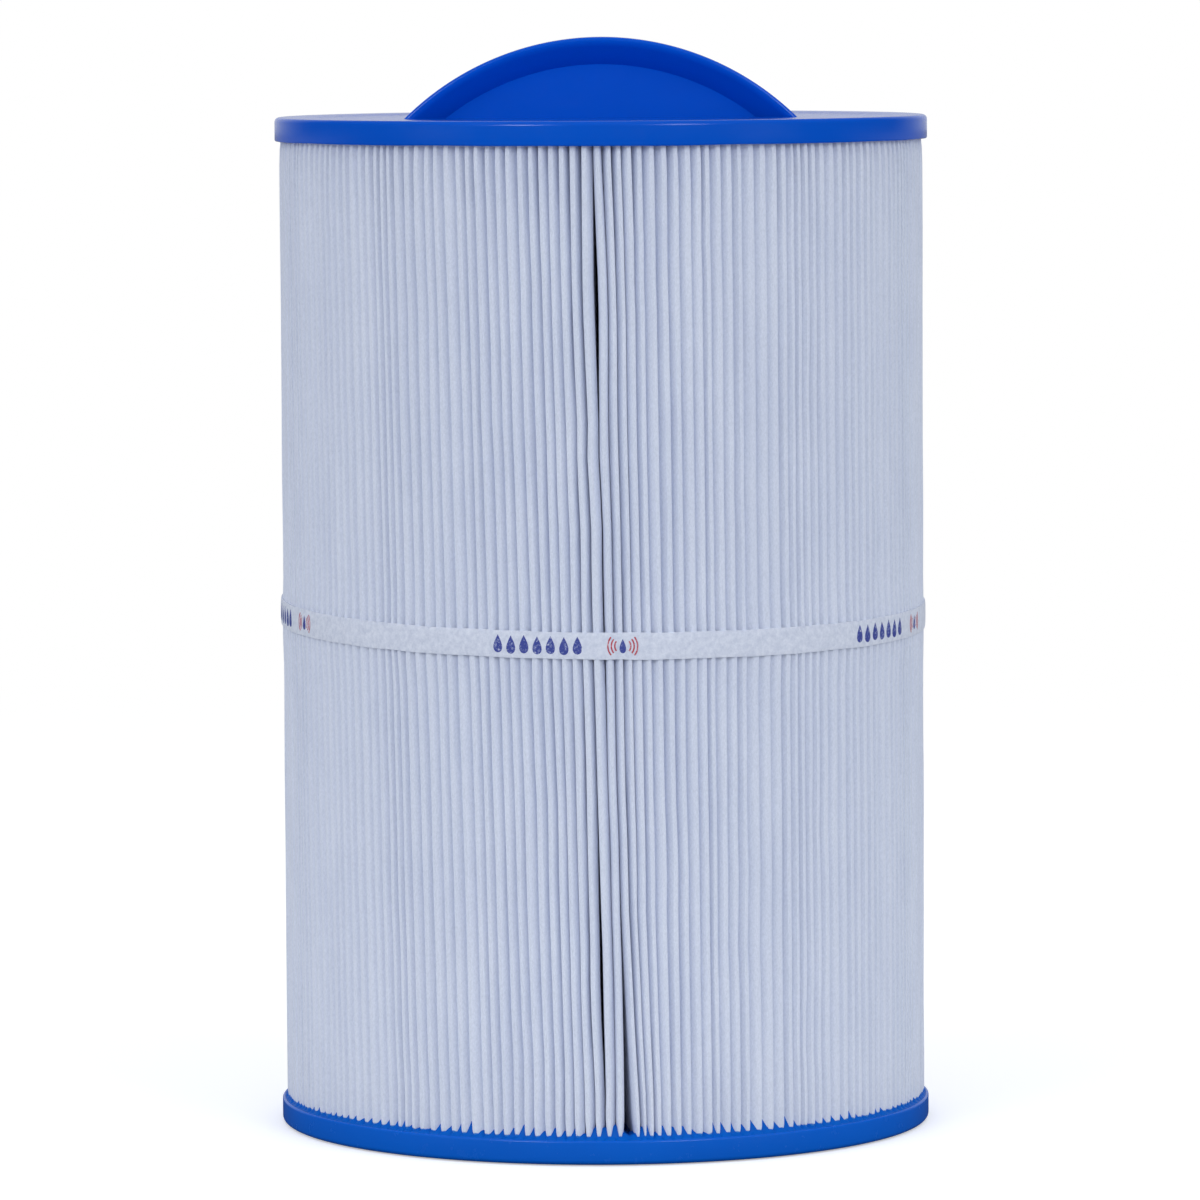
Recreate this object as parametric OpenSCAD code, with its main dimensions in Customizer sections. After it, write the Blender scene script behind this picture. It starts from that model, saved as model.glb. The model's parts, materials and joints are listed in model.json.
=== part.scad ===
// Pleated filter cartridge for a spa or pool, with a half-moon grip.
// Millimetres, +Z up. The origin is the centre of the bottom cap's lower face.
// The grip's arch lies in the XZ plane, and the seam of the pleats faces -Y.

/* [Cartridge] */
// Diameter of both end caps
cap_d = 177.8; // [165:0.1:200]
// Height over both end caps, without the grip
body_h = 275; // [200:1:400]

/* [End caps] */
// Height of a cap's side wall
cap_h = 6.5; // [6:0.1:9]
// Rounding of the top cap's upper edge
cap_edge_r = 1.3; // [0.5:0.1:2]
// Width of the raised rim round the recess on top
rim_w = 8.8; // [4:0.1:14]
// Depth of the recess on top
recess_h = 0.6; // [0.3:0.1:1]
// Depth to which pleats and core are potted in a cap
pot_h = 4; // [2:0.1:4]
// Thickness of the plug that the top cap leaves in the core
plug_h = 12; // [11:0.5:20]
// Diameter of the outlet port in the bottom cap
port_d = 54; // [30:0.5:60]
// Chamfer at the port's mouth
port_chamfer = 1; // [0.5:0.1:2]

/* [Pleats] */
// Number of pleats, with the seam counted as one
pleat_count = 184; // [120:1:190]
// Thickness of the filter media
media_t = 0.55; // [0.3:0.05:0.6]
// Distance by which the caps stand out past the pleat tips
tip_inset = 1.1; // [0.8:0.1:3]
// Width of one pleat at its tip
tip_w = 2.1; // [1.5:0.1:2.2]

/* [Core] */
// Outer diameter of the core
core_d = 79; // [70:0.5:80]
// Wall thickness of the core
core_wall = 2.5; // [2:0.1:4]
// Slots round the core, an even number
slot_columns = 10; // [6:2:12]
// Rows of slots in each section
slot_rows = 4; // [2:1:6]
// Width of a slot
slot_w = 9; // [4:0.5:12]
// Length of the spigot that joins the two sections
spigot_h = 8; // [5:0.5:12]

/* [Grip] */
// Width of the grip where it meets the rim's plane
grip_w = 107; // [80:1:130]
// Height of the grip above the rim's plane
grip_h = 21.4; // [15:0.1:30]
// Thickness of the grip's rim
grip_rim_t = 17; // [10:0.5:24]
// Thickness of the grip's web
grip_web_t = 5; // [3:0.5:8]
// Height of the flared rim, along the arch's radius
grip_flare_h = 7.4; // [5:0.1:10]

/* [Band] */
// Width of the retaining band
band_w = 7.2; // [5:0.1:20]
// Thickness of the retaining band
band_t = 0.6; // [0.3:0.05:0.7]
// Angle that the band's two ends overlap
band_lap = 17; // [8:1:30]

/* [Hidden] */
$fn = 96;

cap_blue = "#0a55bd";
media_white = "#e3e7f0";
band_white = "#eceef3";
core_white = "#dcdcd6";
bead_white = "#efe9d8";

cap_r = cap_d / 2;
core_r = core_d / 2;
core_bore_r = core_r - core_wall;
fit_gap = 0.05;          // running clearance between parts that are assembled dry
overrun = 1;             // how far a cutter runs past what it cuts

// levels along the axis
pack_z0 = cap_h - pot_h;
pack_z1 = body_h - cap_h + pot_h;
pack_h = pack_z1 - pack_z0;
top_cap_z = body_h - cap_h;
recess_z = body_h - recess_h;
core_joint_z = body_h / 2;
band_z = body_h / 2;

// ---------- pleats ----------
tip_r = cap_r - tip_inset;
root_r = core_r + 0.7;
pitch = 360 / pleat_count;
tip_half = tip_w / 2;
seam_angle = -90;
bead_half = 0.3;
bead_root_r = core_r + 20;
flap_r = tip_r - 0.3;
fold_half = 0.1;         // half the gap between a pleat's two layers at its root
hex = 60;                // the round fold at a tip is half a hexagon

// A point at radius r on the ray at angle a, moved sideways by s
function beside(r, s, a) = [r * cos(a) - s * sin(a), r * sin(a) + s * cos(a)];
function pleat_angle(k) = seam_angle + k * pitch;

// Outside of pleat k: the valley before it, then its rounded tip
function pleat_outside(k) = concat(
    [beside(root_r + media_t, 0, pleat_angle(k - 0.5))],
    [for (phi = [180 : -hex : 0])
        beside(tip_r - tip_half * (sin(hex) - sin(phi)), tip_half * cos(phi), pleat_angle(k))]);

// Inside of pleat k, from its far root round the inside of the tip to its near root
function pleat_inside(k) = [
    beside(root_r, fold_half, pleat_angle(k)),
    beside(tip_r - media_t, tip_half - media_t * 1.25, pleat_angle(k)),
    beside(tip_r - media_t, media_t * 1.25 - tip_half, pleat_angle(k)),
    beside(root_r, -fold_half, pleat_angle(k))];

// The whole sheet in section, an open ring whose ends lie along the bead
module pleat_section() {
    a = seam_angle;
    polygon(concat(
        [beside(root_r, bead_half, a), beside(flap_r, bead_half, a), beside(flap_r, bead_half + media_t, a)],
        [for (k = [1 : pleat_count - 1]) each pleat_outside(k)],
        [beside(root_r + media_t, 0, pleat_angle(-0.5))],
        [beside(flap_r, -bead_half - media_t, a), beside(flap_r, -bead_half, a), beside(root_r, -bead_half, a)],
        [for (k = [pleat_count - 1 : -1 : 1]) each pleat_inside(k)]));
}

module bead_section() {
    rotate(seam_angle)
        translate([bead_root_r, -bead_half])
            square([flap_r - bead_root_r, 2 * bead_half]);
}

// What stands in the potting compound of a cap
module potted_ends(z) {
    translate([0, 0, z])
        linear_extrude(pot_h) {
            pleat_section();
            bead_section();
            difference() {
                circle(core_r);
                circle(core_bore_r);
            }
        }
}

module pleat_pack() {
    color(media_white)
        translate([0, 0, pack_z0])
            linear_extrude(pack_h)
                pleat_section();
}

module pleat_seam() {
    color(bead_white)
        translate([0, 0, pack_z0])
            linear_extrude(pack_h)
                bead_section();
}

// ---------- end caps ----------
// Cuts the outer corner at [r, z] of a cap's profile to a radius; up is 1 for an upper corner
module corner_cut(r, z, radius, up) {
    translate([r - radius, z - up * radius])
        difference() {
            translate([0, up > 0 ? 0 : -radius - overrun])
                square([radius + overrun, radius + overrun]);
            circle(radius);
        }
}

module top_cap_profile() {
    difference() {
        union() {
            translate([0, top_cap_z])
                square([cap_r, cap_h]);
            translate([0, body_h - plug_h])
                square([core_bore_r - fit_gap, plug_h]);
        }
        translate([0, recess_z])
            square([cap_r - rim_w, recess_h + overrun]);
        corner_cut(cap_r, body_h, cap_edge_r, 1);
        corner_cut(cap_r, top_cap_z, cap_edge_r / 2, -1);
    }
}

module top_end_cap() {
    color(cap_blue)
        difference() {
            rotate_extrude()
                top_cap_profile();
            potted_ends(top_cap_z);
            grip_solid();
        }
}

module bottom_cap_profile() {
    port_r = port_d / 2;
    difference() {
        translate([port_r, 0])
            square([cap_r - port_r, cap_h]);
        corner_cut(cap_r, cap_h, cap_edge_r / 2, 1);
        corner_cut(cap_r, 0, cap_edge_r, -1);
        polygon([[port_r, 0], [port_r + port_chamfer, 0], [port_r, port_chamfer]]);
    }
}

module bottom_end_cap() {
    color(cap_blue)
        difference() {
            rotate_extrude()
                bottom_cap_profile();
            potted_ends(pack_z0);
        }
}

// ---------- grip ----------
grip_r = (pow(grip_w / 2, 2) + pow(grip_h, 2)) / (2 * grip_h);
grip_centre_z = body_h + grip_h - grip_r;
grip_edge_r = 2;
web_set_h = 1;           // how far the web is let into the floor of the recess
foot_w = 64;
foot_t = 10;
foot_h = 8;
foot_hole_d = 4;
foot_holes = 3;

// Section of the arch: distance from its centre by thickness
module grip_profile() {
    half_rim = grip_rim_t / 2;
    half_web = grip_web_t / 2;
    translate([0, -half_web])
        square([grip_r, grip_web_t]);
    for (side = [-1, 1]) {
        polygon([[grip_r - grip_flare_h, 0], [grip_r - grip_flare_h, side * half_web],
                 [grip_r - grip_edge_r, side * half_rim], [grip_r - grip_edge_r, 0]]);
        translate([grip_r - grip_edge_r, side * (half_rim - grip_edge_r)])
            circle(grip_edge_r);
    }
    translate([grip_r - grip_edge_r, grip_edge_r - half_rim])
        square([grip_edge_r, grip_rim_t - 2 * grip_edge_r]);
}

module grip_foot() {
    difference() {
        translate([-foot_w / 2, -foot_t / 2, recess_z - web_set_h - foot_h])
            cube([foot_w, foot_t, foot_h]);
        for (i = [0 : foot_holes - 1])
            translate([(i - (foot_holes - 1) / 2) * foot_w / foot_holes, 0, recess_z - web_set_h - foot_h / 2])
                rotate([90, 0, 0])
                    cylinder(h = foot_t + 2 * overrun, d = foot_hole_d, center = true);
    }
}

module grip_solid() {
    intersection() {
        translate([0, 0, grip_centre_z])
            rotate([90, 0, 0])
                rotate_extrude($fn = 180)
                    grip_profile();
        translate([-grip_w, -grip_rim_t, recess_z - web_set_h])
            cube([2 * grip_w, 2 * grip_rim_t, grip_r]);
    }
    grip_foot();
}

module grip() {
    color(cap_blue)
        grip_solid();
}

// ---------- retaining band ----------
module retaining_band() {
    inner = tip_r + 0.02;
    color(band_white)
        translate([0, 0, band_z - band_w / 2]) {
            rotate_extrude()
                translate([inner, 0])
                    square([band_t, band_w]);
            rotate([0, 0, -seam_angle - band_lap / 2])
                rotate_extrude(angle = band_lap)
                    translate([inner + band_t / 2, 0])
                        square([band_t * 1.1, band_w]);
        }
}

// ---------- core ----------
// Obround slots cut through a section between z0 and z1
module slots(z0, z1) {
    row_h = (z1 - z0) / slot_rows;
    slot_l = row_h - 10;
    for (row = [0 : slot_rows - 1])
        for (column = [0 : slot_columns / 2 - 1])
            translate([0, 0, z0 + (row + 0.5) * row_h])
                rotate([90, 0, (column + (row % 2) / 2) * 360 / slot_columns]) {
                    cube([slot_w, slot_l - slot_w, core_d + 2 * overrun], center = true);
                    for (end = [-1, 1])
                        translate([0, end * (slot_l - slot_w) / 2, 0])
                            cylinder(h = core_d + 2 * overrun, d = slot_w, center = true);
                }
}

module core_lower() {
    color(core_white)
        difference() {
            translate([0, 0, pack_z0])
                cylinder(h = core_joint_z - pack_z0, r = core_r);
            translate([0, 0, pack_z0 - overrun])
                cylinder(h = core_joint_z - pack_z0 + 2 * overrun, r = core_bore_r);
            translate([0, 0, core_joint_z - spigot_h])
                cylinder(h = spigot_h + overrun, r = core_r - core_wall / 2);
            slots(cap_h, core_joint_z - spigot_h);
        }
}

module core_upper() {
    color(core_white)
        difference() {
            union() {
                translate([0, 0, core_joint_z])
                    cylinder(h = pack_z1 - core_joint_z, r = core_r);
                translate([0, 0, core_joint_z - spigot_h + fit_gap])
                    cylinder(h = spigot_h, r = core_r - core_wall / 2 - fit_gap);
            }
            translate([0, 0, core_joint_z - spigot_h - overrun])
                cylinder(h = body_h, r = core_bore_r);
            slots(core_joint_z, body_h - plug_h);
        }
}

top_end_cap();
grip();
pleat_pack();
pleat_seam();
retaining_band();
core_upper();
core_lower();
bottom_end_cap();
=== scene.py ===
import json
import math

import bmesh
import bpy
import numpy as np
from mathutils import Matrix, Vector


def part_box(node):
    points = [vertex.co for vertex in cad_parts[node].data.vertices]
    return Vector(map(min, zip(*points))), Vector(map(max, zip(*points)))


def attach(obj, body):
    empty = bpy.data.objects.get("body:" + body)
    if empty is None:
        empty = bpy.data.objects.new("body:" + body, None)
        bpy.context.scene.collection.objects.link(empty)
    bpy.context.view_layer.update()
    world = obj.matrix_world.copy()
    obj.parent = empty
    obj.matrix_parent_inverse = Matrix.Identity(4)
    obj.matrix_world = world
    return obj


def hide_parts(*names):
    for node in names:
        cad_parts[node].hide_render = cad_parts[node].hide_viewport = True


# Looks of a pleated filter cartridge: cast blue end caps, a half-moon grip, a folded white media
# sheet with its seam at the front (-Y), and a printed nonwoven strap round the middle.

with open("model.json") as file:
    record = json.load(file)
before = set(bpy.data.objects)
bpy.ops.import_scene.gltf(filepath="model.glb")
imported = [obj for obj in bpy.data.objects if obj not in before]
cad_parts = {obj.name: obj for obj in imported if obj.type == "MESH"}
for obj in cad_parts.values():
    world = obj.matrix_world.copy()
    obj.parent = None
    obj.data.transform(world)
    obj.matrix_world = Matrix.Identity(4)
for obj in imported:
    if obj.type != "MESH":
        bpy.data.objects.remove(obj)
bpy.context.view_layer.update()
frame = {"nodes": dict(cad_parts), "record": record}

MM = 0.001
SEED = 7
rng = np.random.default_rng(SEED)

# ---------- places, read from the frame ----------
bottom_lo, bottom_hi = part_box("bottom_end_cap")
_, top_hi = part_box("top_end_cap")
pack_lo, pack_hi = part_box("pleat_pack")
_, core_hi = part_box("core_upper")
band_lo, band_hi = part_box("retaining_band")
_, seam_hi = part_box("pleat_seam")
_, grip_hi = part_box("grip")

CAP_R = bottom_hi.x
CAP_Z = bottom_hi.z                      # upper face of the bottom cap
PACK_Z0, PACK_Z1 = pack_lo.z, pack_hi.z
TIP_R = pack_hi.x
CORE_R = core_hi.x
BODY_H = top_hi.z                        # top of the top cap's rim
TOP_CAP_Z = BODY_H - bottom_hi.z         # lower face of the top cap's side wall
BAND_Z = (band_lo.z + band_hi.z) / 2
BAND_HALF = (band_hi.z - band_lo.z) / 2
BAND_R = TIP_R + 0.02 * MM

# ---------- camera ----------
LENS = 223.0
CAMERA_PLACE = Vector((0.0, -2.031, BODY_H + 0.033))
CAMERA_TILT = math.radians(4.66)
CAMERA_ROLL = math.radians(0.3)


def make_camera():
    """The camera of the main view, in front of the seam and a little above the top cap."""
    data = bpy.data.cameras.new("camera")
    data.lens = LENS
    data.sensor_width = 36.0
    data.clip_start = 0.05
    data.clip_end = 60.0
    camera = bpy.data.objects.new("camera", data)
    camera.location = CAMERA_PLACE
    camera.rotation_euler = (math.pi / 2 - CAMERA_TILT, CAMERA_ROLL, 0)
    bpy.context.scene.collection.objects.link(camera)
    bpy.context.scene.camera = camera


# ---------- mesh helpers ----------
def new_piece(name, points, faces, material, smooth=True):
    """A mesh piece that rides on the cartridge's one body."""
    mesh = bpy.data.meshes.new(name)
    mesh.from_pydata(points, [], faces)
    mesh.validate()
    face_outwards(mesh)
    mesh.update()
    mesh.polygons.foreach_set("use_smooth", [smooth] * len(mesh.polygons))
    mesh.materials.append(material)
    piece = bpy.data.objects.new(name, mesh)
    bpy.context.scene.collection.objects.link(piece)
    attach(piece, "root")
    return piece


def face_outwards(mesh):
    """Turns a closed mesh's faces over if they look inwards."""
    shape = bmesh.new()
    shape.from_mesh(mesh)
    if shape.calc_volume(signed=True) < 0:
        bmesh.ops.reverse_faces(shape, faces=shape.faces)
        shape.to_mesh(mesh)
    shape.free()


def sharpen(piece, degrees):
    """Keeps edges steeper than an angle crisp under smooth shading."""
    piece.data.set_sharp_from_angle(angle=math.radians(degrees))


def polar(radius, angle, z):
    """Points from radius, angle in radians (0 faces -Y and grows towards +X) and height."""
    radius, angle, z = np.broadcast_arrays(radius, angle, z)
    return np.stack([radius * np.sin(angle), -radius * np.cos(angle), z], axis=-1)


def smooth_step(low, high, x):
    t = np.clip((x - low) / (high - low), 0, 1)
    return t * t * (3 - 2 * t)


def ring_faces(rows, columns):
    """Quads of a grid that closes round in its columns and in its rows."""
    faces = []
    for j in range(rows):
        for i in range(columns):
            a, b = j * columns + i, j * columns + (i + 1) % columns
            c, d = (j + 1) % rows * columns + (i + 1) % columns, (j + 1) % rows * columns + i
            faces.append((a, b, c, d))
    return faces


def grid_points(columns):
    """Points of a swept section in row order, from one run of points for each of its corners."""
    return np.array(columns).transpose(1, 0, 2).reshape(-1, 3)


def wall_faces(rows, count, loop):
    """Quads between the rows of a swept section with count points, along a closed loop of them."""
    faces = []
    for j in range(rows - 1):
        for i, a in enumerate(loop):
            b = loop[(i + 1) % len(loop)]
            faces.append((j * count + a, j * count + b, (j + 1) * count + b, (j + 1) * count + a))
    return faces


# ---------- pleats ----------
PLEATS = 184
MEDIA_T = 0.55 * MM
GROOVE_DEPTH = 1.5 * MM                 # where neighbouring pleats nearly touch
GROOVE_GAP = 0.08 * MM
# Section of a folded tip: shares of the pleat's width, and depths as shares of the groove's.
# One that leans left has a steep left face, a flat crest and a plane flank on its right.
TIP_LEANING = ((0.03, 0.2), (0.08, 0.02), (0.28, 0.0), (0.47, 0.05), (0.6, 0.3))
TIP_EVEN = ((0.13, 0.42), (0.27, 0.09), (0.5, 0.0), (0.73, 0.09), (0.87, 0.42))
BEAD_HALF = 0.3 * MM
ROOT_R = CORE_R + 0.7 * MM
SEAM_SPREAD = math.radians(5.5)          # half-width of the zone of crowded pleats at the seam
PLEAT_TURN = math.radians(0.8)           # the seam's place, right of the front
FOOT_ROUND = 2.0 * MM                    # height over which a pleat's foot is rounded off
SOAK_TOP, SOAK_WAVER = 1.45 * MM, 1.2 * MM   # how high the compound soaks into the pleats' feet
SOAK_EDGE = 0.35 * MM                    # softness of the soaked part's upper edge
NARROW_H = 6 * MM                        # height over which the pleats' feet are narrower
PINCH_H = 4 * MM                         # depth below the top cap over which tips are drawn in
DEEP_H = 22 * MM                         # depth below the top cap over which grooves are deeper
PRESSED_H = 7 * MM                       # distance beyond the strap over which it evens the tips
TIP_RECESS = 0.3 * MM                    # most that a tip lies further in than its neighbours
ROOT_GAP = 0.1 * MM                      # half the gap between a pleat's two layers at its root
SLIT_SHARE = 0.85                        # share of a slit's width that its pleats' sides give way
KINK_COUNT = 150

# ---------- strap and its print ----------
STRAP_T = 0.42 * MM
STRAP_LAP = math.radians(15)
STRAP_START = math.radians(172)          # one end of the strap, at the back
STRAP_RISE, STRAP_CANT = 2.2 * MM, 0.9 * MM  # the strap sits higher at the sides, most on the left
MARK_STEP = math.radians(69.2)           # the print repeats along the strap at this step
MARK_BLUE = math.radians(-11.4)
MARK_SMALL = math.radians(3.3)
INK_LIFT = 0.03 * MM

# Open slits between pleats near the seam: pleat boundary, heights of its foot, widest place and
# top above the base, its width there, how fast it closes upwards, and how much of it the pleats
# on its left give way
SLITS = [
    (-1, 0.192, 0.232, 0.264, 1.4 * MM, 1.0, 0.5),
    (-1, 0.100, 0.150, 0.230, 0.3 * MM, 1.0, 0.5),
    (-2, 0.004, 0.050, 0.105, 0.95 * MM, 1.3, 0.5),
    (0, -0.030, 0.009, 0.088, 2.7 * MM, 2.0, 0.1),
]


def pleat_levels():
    """Heights of the rows of points: close together at both ends and at the strap."""
    foot = CAP_Z + np.array([-1.2, 0.15, 0.6, 1.2, 2.0, 3.2, 5.0, 8.0, 12.0]) * MM
    strap = BAND_Z + np.array([-12, -5, -3.8, 3.8, 5, 12]) * MM
    head = TOP_CAP_Z - np.array([7.0, 2.4, 0.6, -1.2]) * MM
    below = np.linspace(foot[-1], strap[0], 12)[1:-1]
    above = np.linspace(strap[-1], head[0], 13)[1:-1]
    return np.concatenate([foot, below, strap, above, head])


def smooth_noise(rows, heights, wave, amount):
    """Soft random offsets along the height, one run for each row."""
    total = np.zeros((rows, len(heights)))
    for octave in range(1, 4):
        phase = rng.uniform(0, 2 * math.pi, (rows, 1))
        pace = rng.uniform(0.7, 1.3, (rows, 1)) * octave * 2 * math.pi / wave
        total += np.sin(pace * heights[None, :] + phase) / octave
    return amount * total / 1.8


def lean(angle):
    """How far, in radians, pleats at an angle shift from top to bottom."""
    degrees_from = np.degrees(angle) - 5
    near_front = np.cos(np.clip(np.abs(angle), 0, math.pi) / 2) ** 2
    return np.radians(2.75 - 2.0 * np.tanh(degrees_from / 15) * near_front)


def near_seam(k):
    """1 at the seam's crowded pleats, falling to 0 a few pleats away."""
    return np.exp(-((k + 0.5) / 2.6) ** 2)


def tip_section(k):
    """Section of pleat k's tip: pleats lean away from the seam, and less so towards the back."""
    amount = 0
    if abs(k) < PLEATS / 2:
        amount = math.tanh(k / 0.8) * math.cos(math.pi * k / PLEATS) ** 0.5
    side = TIP_LEANING if amount < 0 else [(1 - u, v) for u, v in reversed(TIP_LEANING)]
    amount = abs(amount)
    return [(u0 + (u1 - u0) * amount, v0 + (v1 - v0) * amount)
            for (u0, v0), (u1, v1) in zip(TIP_EVEN, side)]


def slit_gap(slit, z):
    """A slit's width at each height."""
    _, foot, widest, head, amount, power, _ = slit
    closing = np.clip((head - z) / (head - widest), 0, 1) ** power
    return amount * smooth_step(foot, widest, z) * np.where(z > widest, closing, 1)


def slit_width(k, z):
    """Extra gap, in metres, at the boundary after pleat k."""
    return sum((slit_gap(slit, z) for slit in SLITS if slit[0] == k), np.zeros_like(z))


def kinks(z):
    """Small sideways steps that neighbouring pleats share, where the sheet was pressed."""
    total = np.zeros((PLEATS, len(z)))
    k = np.arange(PLEATS)
    for _ in range(KINK_COUNT):
        middle, height = rng.uniform(0, PLEATS), rng.uniform(PACK_Z0, PACK_Z1)
        spread, soft = rng.uniform(0.8, 2.6), rng.uniform(4, 10) * MM
        away = (k - middle + PLEATS / 2) % PLEATS - PLEATS / 2
        size = rng.choice([-1, 1]) * rng.uniform(0.15, 0.4) * MM
        step = np.exp(-((z - height) / soft) ** 2) * size
        total += np.exp(-(away / spread) ** 2)[:, None] * step[None, :]
    return total / TIP_R


def pleat_layout(z):
    """Angles of tips and of the boundaries between pleats, for every pleat and height."""
    k = np.arange(PLEATS)
    pitch = 2 * math.pi / PLEATS
    k_signed = np.where(k > PLEATS // 2, k - PLEATS, k)
    regular = k_signed * pitch
    crowd = np.exp(-((regular - 0.01) / SEAM_SPREAD) ** 2)
    bunch = 0.3 * np.sin(k * 0.61 + 1.0) * np.cos(k * 0.173)
    jitter = rng.uniform(-0.2, 0.2, PLEATS) + bunch
    squeeze = -0.24 * SEAM_SPREAD * np.tanh((regular - 0.01) / SEAM_SPREAD)
    fade = np.cos(regular / 2) ** 2
    base = regular + squeeze * fade + jitter * pitch * (1 - 0.6 * crowd)
    t = (z - PACK_Z0) / (PACK_Z1 - PACK_Z0)
    shift = lean(base)[:, None] * (0.5 - t)[None, :]
    tips = base[:, None] + shift + smooth_noise(PLEATS, z, 0.11, 0.13 * MM / TIP_R) + kinks(z)
    roots = regular[:, None] + lean(regular)[:, None] * (0.5 - t)[None, :]
    for slit in SLITS:
        wide = slit_gap(slit, z) / TIP_R
        right = k_signed > slit[0]
        move = np.where(right, 1 - slit[6], -slit[6])
        steps = np.where(right, k_signed - slit[0] - 1, slit[0] - k_signed)
        tips += move[:, None] * wide[None, :] * np.exp(-steps / 2.4)[:, None]
    return tips + PLEAT_TURN, roots + PLEAT_TURN, k_signed


class Outline:
    """A section of a solid, drawn as points that each run the whole height."""

    def __init__(self, z):
        self.z = z
        self.columns = []

    def add(self, radius, angle):
        self.columns.append(polar(radius, angle, self.z))
        return len(self.columns) - 1


def beside(radius, angle, side):
    """An angle moved sideways by a distance at a radius."""
    return angle + side / radius


def make_pleats(material):
    """The whole folded sheet as one closed solid, open in section at the seam."""
    z = pleat_levels()
    tips, roots, k_signed = pleat_layout(z)
    line = Outline(z)
    outer, inner, caps = [], [], []
    above_foot = z - CAP_Z
    foot = (1 - np.clip(above_foot / FOOT_ROUND, 0, 1)) ** 2
    narrow = 1 - smooth_step(0, NARROW_H, above_foot)
    pinch = 1 - smooth_step(0, PINCH_H, TOP_CAP_Z - z)
    under_cap = 1 - smooth_step(0, DEEP_H, TOP_CAP_Z - z)
    strapped = 1 - smooth_step(BAND_HALF, BAND_HALF + PRESSED_H, np.abs(z - BAND_Z))
    share = GROOVE_DEPTH / (TIP_R - ROOT_R)

    def boundary(k):
        """Angle between pleat k and the next, at the groove's depth and at the root."""
        a, b = k % PLEATS, (k + 1) % PLEATS
        tip_next = tips[b] + (2 * math.pi if tips[b][0] < tips[a][0] - 3 else 0)
        root_next = roots[b] + (2 * math.pi if roots[b][0] < roots[a][0] - 3 else 0)
        tip_mid, root_mid = (tips[a] + tip_next) / 2, (roots[a] + root_next) / 2
        return tip_mid * (1 - share) + root_mid * share, root_mid

    order = np.argsort(k_signed)
    start = int(np.where(order == 0)[0][0])
    sequence = [int(k) for k in np.roll(order, -start)]

    def pleat(k, half):
        """Adds pleat k's points. half is 0 for a whole pleat, or the side of the seam."""
        seam = near_seam(k_signed[k])
        recess = rng.uniform(0, 1) * TIP_RECESS + smooth_noise(1, z, 0.09, 0.08 * MM)[0] + 0.08 * MM
        recess = np.clip(recess, 0.03 * MM, 0.5 * MM) * (1 - strapped) + 0.02 * MM
        radius = TIP_R - recess - (0.45 + 0.3 * seam) * MM * foot - 0.35 * MM * pinch
        groove = GROOVE_DEPTH * rng.uniform(0.85, 1.15) * (1 + 0.5 * seam) * (1 + 0.7 * under_cap)
        depth_r = radius - groove
        before, _ = boundary(k - 1)
        after, root_after = boundary(k)
        before = np.where(before > after + 3, before - 2 * math.pi, before)
        k_now = int(k_signed[k])
        foot_gap = (0.05 + 0.6 * seam) * MM * narrow
        gap_left = GROOVE_GAP + SLIT_SHARE * slit_width(k_now - 1, z) + foot_gap
        gap_right = GROOVE_GAP + SLIT_SHARE * slit_width(k_now, z) + foot_gap
        left = beside(depth_r, before, gap_left / 2)
        right = beside(depth_r, after, -gap_right / 2)
        shape = 1 - (0.04 + 0.12 * seam) * narrow - 0.27 * foot
        section = tip_section(k_now)
        wobble = smooth_noise(1, z, 0.07, 0.07)[0] + rng.uniform(-0.05, 0.05)
        out, ins = [], []

        def tip_point(i, sink=0):
            """Point i of the rounded tip, from its left side to its right."""
            u, v = section[i]
            across = 0.5 + (u - 0.5 + wobble * math.sin(math.pi * u) ** 2) * shape
            r = radius - groove * v - sink
            return line.add(r, left + (right - left) * across)

        if half != 1:
            out.append(line.add(depth_r, left))
            out.extend(tip_point(i) for i in range(5))
            ins.append(line.add(depth_r, beside(depth_r, left, MEDIA_T)))
            ins.append(tip_point(2, MEDIA_T))
        else:
            out.append(tip_point(4, 0.03 * MM))
            ins.append(tip_point(3, MEDIA_T))
        if half != -1:
            out.append(line.add(depth_r, right))
            ins.append(line.add(depth_r, beside(depth_r, right, -MEDIA_T)))
            out.append(line.add(ROOT_R + MEDIA_T, root_after))
        if half != 1:
            ins.insert(0, line.add(ROOT_R, beside(ROOT_R, roots[k], -ROOT_GAP)))
        if half != -1:
            ins.append(line.add(ROOT_R, beside(ROOT_R, roots[k], ROOT_GAP)))
        return out, ins

    runs = []
    for n, k in enumerate(sequence + [sequence[0]]):
        half = 1 if n == 0 else (-1 if n == PLEATS else 0)
        runs.append((half, *pleat(k, half)))
    for n, (half, out, ins) in enumerate(runs):
        outer.extend(out)
        inner.extend(ins)
        if half == 1:
            caps.append((out[0], out[1], ins[1], ins[0]))
            caps.append((out[1], out[2], ins[2], ins[1]))
            continue
        last_valley, last_root = runs[n - 1][1][-1], runs[n - 1][2][-1]
        caps.append((last_valley, out[0], ins[1], ins[0]))
        caps.append((last_valley, ins[0], last_root))
        caps.append((*out[0:4], ins[2], ins[1]))
        if half == 0:
            caps.append((*out[3:7], ins[3], ins[2]))
            caps.append((out[6], out[7], ins[4], ins[3]))
        else:
            caps.append((*out[3:6], ins[2]))

    loop = outer + inner[::-1]
    count, rows = len(line.columns), len(z)
    points = grid_points(line.columns)
    faces = wall_faces(rows, count, loop)
    top = (rows - 1) * count
    faces += [tuple(reversed(c)) for c in caps]
    faces += [tuple(top + i for i in c) for c in caps]
    piece = new_piece("pleated_media", points.tolist(), faces, material)
    sharpen(piece, 35)
    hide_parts("pleat_pack")
    return tips


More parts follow.
